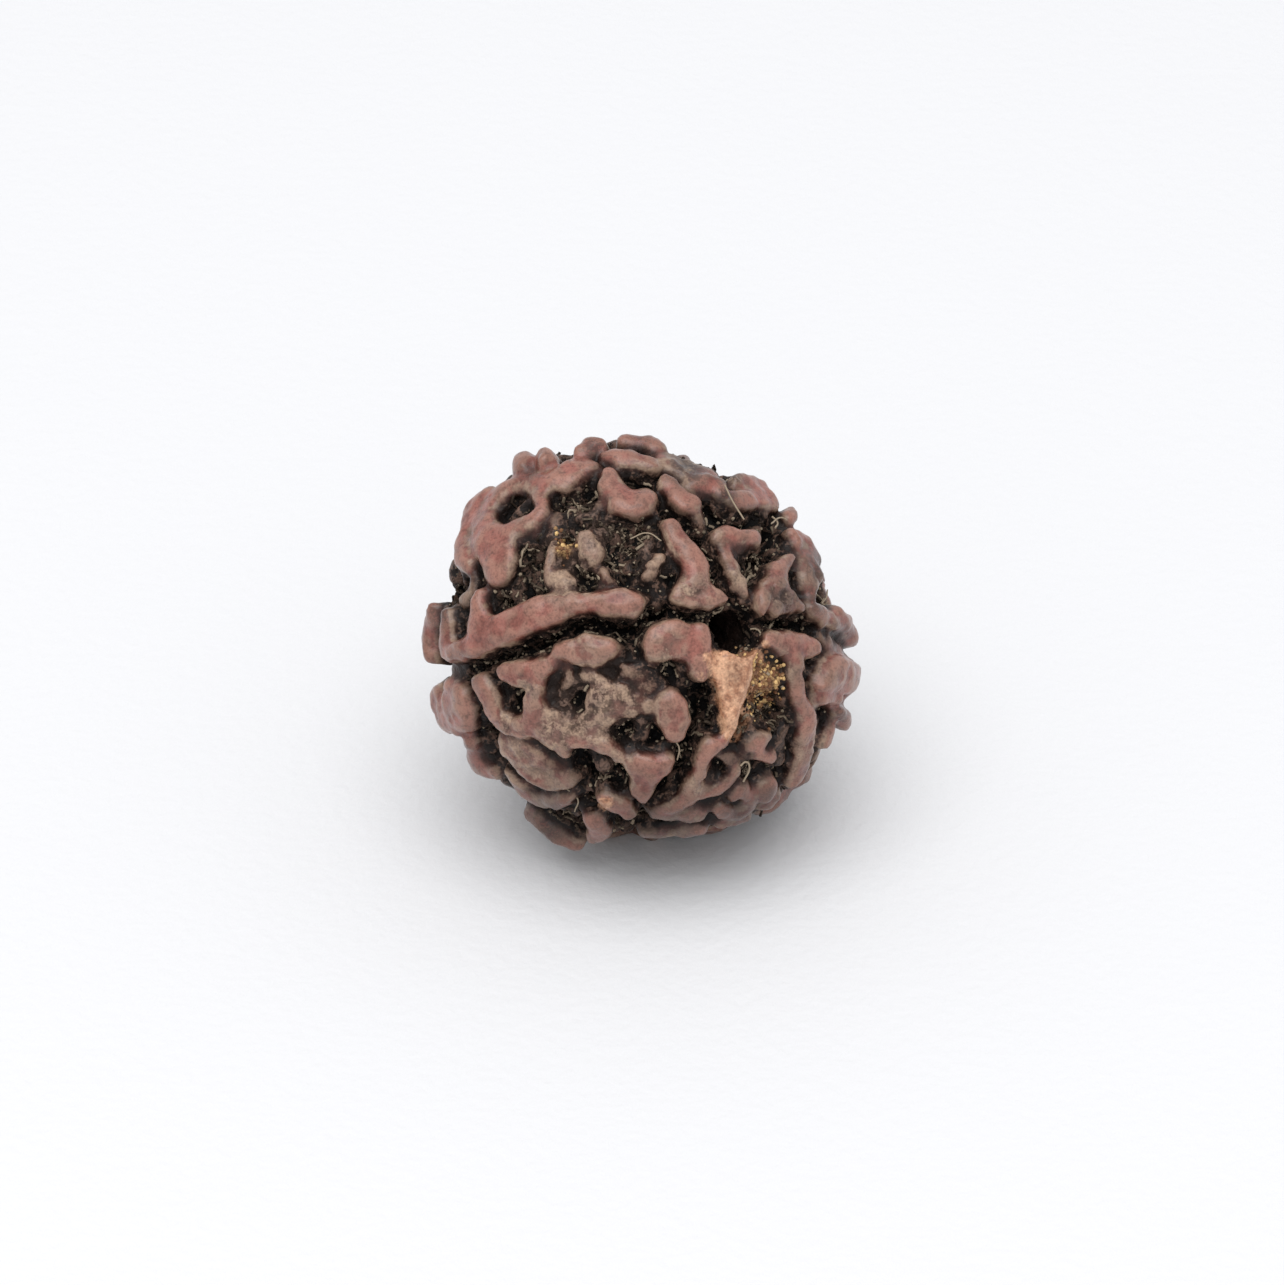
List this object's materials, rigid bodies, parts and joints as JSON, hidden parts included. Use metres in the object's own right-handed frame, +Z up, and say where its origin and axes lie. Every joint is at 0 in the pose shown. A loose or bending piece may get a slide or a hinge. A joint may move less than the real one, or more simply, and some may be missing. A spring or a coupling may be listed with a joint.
{
  "type": "rudraksha seed",
  "caption": "Ovoid woody fruit stone with a gnarled raised net, clefts from end to end and a narrow bore along its axis.",
  "frame": {"origin": "centre of the box's underside, at the level that the stone rests on", "axes": "+Z up as it rests; the front, with the near mouth of the bore, looks towards -Y and up; +X to the front's right"},
  "size_m": [0.0218, 0.0202, 0.021],
  "materials": {
    "wood": "dull"
  },
  "bodies": {
    "root": {"seed": "wood"}
  },
  "joints": []
}
